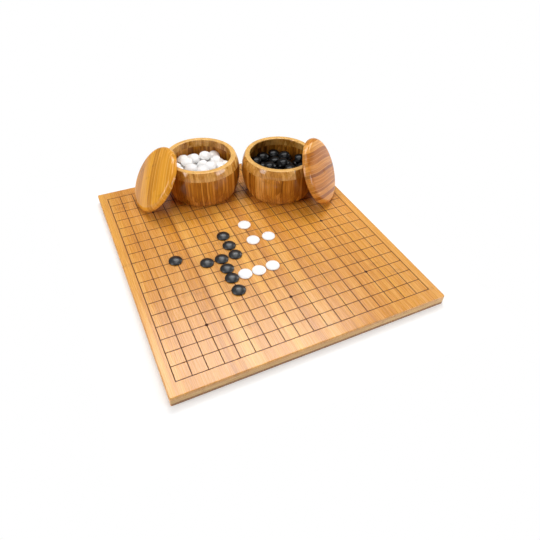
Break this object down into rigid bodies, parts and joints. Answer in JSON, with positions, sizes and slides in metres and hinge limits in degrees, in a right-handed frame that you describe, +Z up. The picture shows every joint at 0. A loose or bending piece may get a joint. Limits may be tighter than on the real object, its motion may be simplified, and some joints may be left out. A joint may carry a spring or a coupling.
{
  "type": "go board with bowls",
  "caption": "Flat laminated bamboo go board with an etched square grid, domed stones in play, and two turned bowls of stones with their domed lids leaning on them.",
  "frame": {"origin": "centre of the board's flat underside", "axes": "+Z up through the playing surface, +Y along the board's length towards the far end where the bowls stand, +X across the board to the right"},
  "size_m": [0.425, 0.478, 0.1254],
  "materials": {
    "board_bamboo": "satin varnish",
    "bowl_bamboo": "gloss lacquer",
    "lid_bamboo": "gloss lacquer",
    "white_stone": "polished",
    "black_stone": "satin"
  },
  "bodies": {
    "board": {"board_bottom_ply": "board_bamboo", "board_core_ply": "board_bamboo", "board_top_ply": "board_bamboo"},
    "white_bowl": {"white_bowl_base": "bowl_bamboo", "white_bowl_rim": "bowl_bamboo", "white_stones_lower": "white_stone", "white_stones_middle": "white_stone", "white_stones_upper": "white_stone"},
    "white_lid": {"white_bowl_lid": "lid_bamboo"},
    "black_bowl": {"black_bowl_base": "bowl_bamboo", "black_bowl_rim": "bowl_bamboo", "black_stones_lower": "black_stone", "black_stones_middle": "black_stone", "black_stones_upper": "black_stone"},
    "black_lid": {"black_bowl_lid": "lid_bamboo"},
    "black_stone_1": {"black_stone_1": "black_stone"},
    "black_stone_2": {"black_stone_2": "black_stone"},
    "black_stone_3": {"black_stone_3": "black_stone"},
    "black_stone_4": {"black_stone_4": "black_stone"},
    "black_stone_5": {"black_stone_5": "black_stone"},
    "black_stone_6": {"black_stone_6": "black_stone"},
    "black_stone_7": {"black_stone_7": "black_stone"},
    "black_stone_8": {"black_stone_8": "black_stone"},
    "black_stone_9": {"black_stone_9": "black_stone"},
    "white_stone_1": {"white_stone_1": "white_stone"},
    "white_stone_2": {"white_stone_2": "white_stone"},
    "white_stone_3": {"white_stone_3": "white_stone"},
    "white_stone_4": {"white_stone_4": "white_stone"},
    "white_stone_5": {"white_stone_5": "white_stone"},
    "white_stone_6": {"white_stone_6": "white_stone"}
  },
  "joints": [
    {"name": "white_bowl_lift", "type": "slide", "parent": "board", "child": "white_bowl", "axis": [0, 0, 1], "range_m": [0, 0.15]},
    {"name": "white_lid_lift", "type": "slide", "parent": "white_bowl", "child": "white_lid", "axis": [0, 0, 1], "range_m": [0, 0.12]},
    {"name": "black_bowl_lift", "type": "slide", "parent": "board", "child": "black_bowl", "axis": [0, 0, 1], "range_m": [0, 0.15]},
    {"name": "black_lid_lift", "type": "slide", "parent": "black_bowl", "child": "black_lid", "axis": [0, 0, 1], "range_m": [0, 0.12]},
    {"name": "black_stone_1_lift", "type": "slide", "parent": "board", "child": "black_stone_1", "axis": [0, 0, 1], "range_m": [0, 0.05]},
    {"name": "black_stone_2_lift", "type": "slide", "parent": "board", "child": "black_stone_2", "axis": [0, 0, 1], "range_m": [0, 0.05]},
    {"name": "black_stone_3_lift", "type": "slide", "parent": "board", "child": "black_stone_3", "axis": [0, 0, 1], "range_m": [0, 0.05]},
    {"name": "black_stone_4_lift", "type": "slide", "parent": "board", "child": "black_stone_4", "axis": [0, 0, 1], "range_m": [0, 0.05]},
    {"name": "black_stone_5_lift", "type": "slide", "parent": "board", "child": "black_stone_5", "axis": [0, 0, 1], "range_m": [0, 0.05]},
    {"name": "black_stone_6_lift", "type": "slide", "parent": "board", "child": "black_stone_6", "axis": [0, 0, 1], "range_m": [0, 0.05]},
    {"name": "black_stone_7_lift", "type": "slide", "parent": "board", "child": "black_stone_7", "axis": [0, 0, 1], "range_m": [0, 0.05]},
    {"name": "black_stone_8_lift", "type": "slide", "parent": "board", "child": "black_stone_8", "axis": [0, 0, 1], "range_m": [0, 0.05]},
    {"name": "black_stone_9_lift", "type": "slide", "parent": "board", "child": "black_stone_9", "axis": [0, 0, 1], "range_m": [0, 0.05]},
    {"name": "white_stone_1_lift", "type": "slide", "parent": "board", "child": "white_stone_1", "axis": [0, 0, 1], "range_m": [0, 0.05]},
    {"name": "white_stone_2_lift", "type": "slide", "parent": "board", "child": "white_stone_2", "axis": [0, 0, 1], "range_m": [0, 0.05]},
    {"name": "white_stone_3_lift", "type": "slide", "parent": "board", "child": "white_stone_3", "axis": [0, 0, 1], "range_m": [0, 0.05]},
    {"name": "white_stone_4_lift", "type": "slide", "parent": "board", "child": "white_stone_4", "axis": [0, 0, 1], "range_m": [0, 0.05]},
    {"name": "white_stone_5_lift", "type": "slide", "parent": "board", "child": "white_stone_5", "axis": [0, 0, 1], "range_m": [0, 0.05]},
    {"name": "white_stone_6_lift", "type": "slide", "parent": "board", "child": "white_stone_6", "axis": [0, 0, 1], "range_m": [0, 0.05]}
  ]
}
